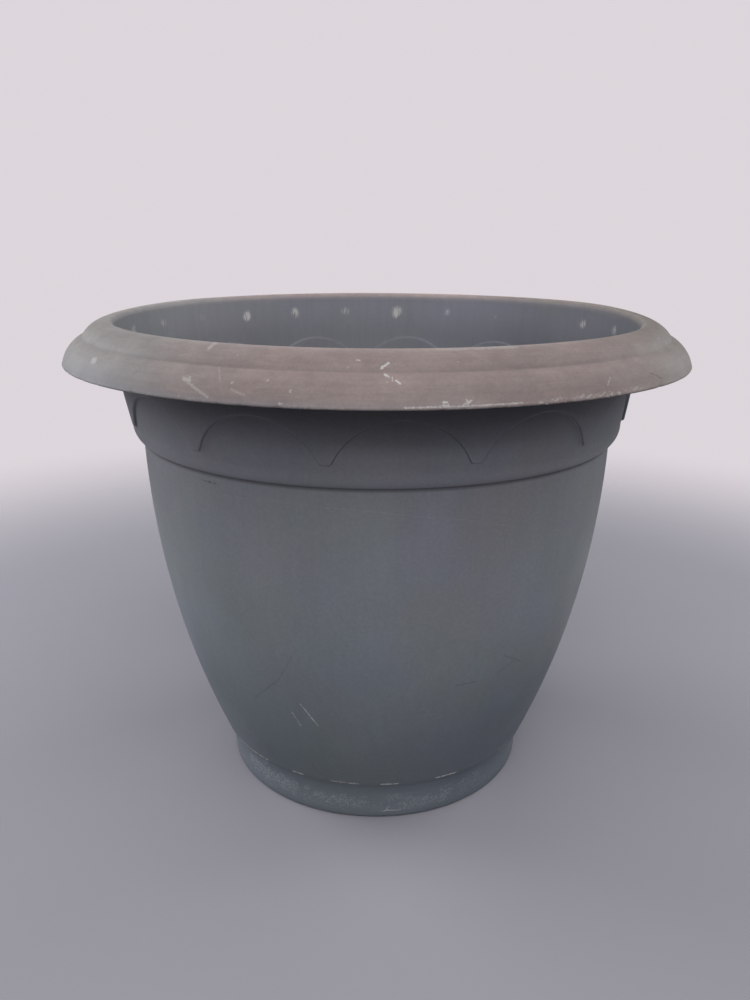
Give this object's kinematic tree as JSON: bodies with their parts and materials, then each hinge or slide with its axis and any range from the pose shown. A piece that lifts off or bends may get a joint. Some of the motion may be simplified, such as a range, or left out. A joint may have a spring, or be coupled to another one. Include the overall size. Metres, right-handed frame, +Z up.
{
  "type": "round planter pot",
  "caption": "Round bell-shaped plastic planter with a rolled rim, an arched collar, a base tray, a raised soil grid and push-in drain plugs.",
  "frame": {"origin": "centre of the foot ring, on the floor that the planter stands on", "axes": "+Z up along the pot's axis; -Y is the front, at the middle of one arch; +X is to the right seen from the front"},
  "size_m": [0.5849, 0.585, 0.464],
  "materials": {
    "pot_plastic": "satin, weathered",
    "tray_plastic": "satin, dirty",
    "grid_plastic": "matte",
    "plug_plastic": "matte"
  },
  "bodies": {
    "tray": {"base_tray": "tray_plastic"},
    "pot": {"pot_shell": "pot_plastic"},
    "grid": {"soil_grid": "grid_plastic"},
    "plug_1": {"drain_plug_1": "plug_plastic"},
    "plug_2": {"drain_plug_2": "plug_plastic"},
    "plug_3": {"drain_plug_3": "plug_plastic"},
    "plug_4": {"drain_plug_4": "plug_plastic"}
  },
  "joints": [
    {"name": "shell_lift", "type": "slide", "parent": "tray", "child": "pot", "axis": [0, 0, 1], "range_m": [0, 0.15]},
    {"name": "grid_lift", "type": "slide", "parent": "pot", "child": "grid", "axis": [0, 0, 1], "range_m": [0, 0.43]},
    {"name": "plug_1_pull", "type": "slide", "parent": "pot", "child": "plug_1", "axis": [0, 0, -1], "range_m": [0, 0.014]},
    {"name": "plug_2_pull", "type": "slide", "parent": "pot", "child": "plug_2", "axis": [0, 0, -1], "range_m": [0, 0.014]},
    {"name": "plug_3_pull", "type": "slide", "parent": "pot", "child": "plug_3", "axis": [0, 0, -1], "range_m": [0, 0.014]},
    {"name": "plug_4_pull", "type": "slide", "parent": "pot", "child": "plug_4", "axis": [0, 0, -1], "range_m": [0, 0.014]}
  ]
}
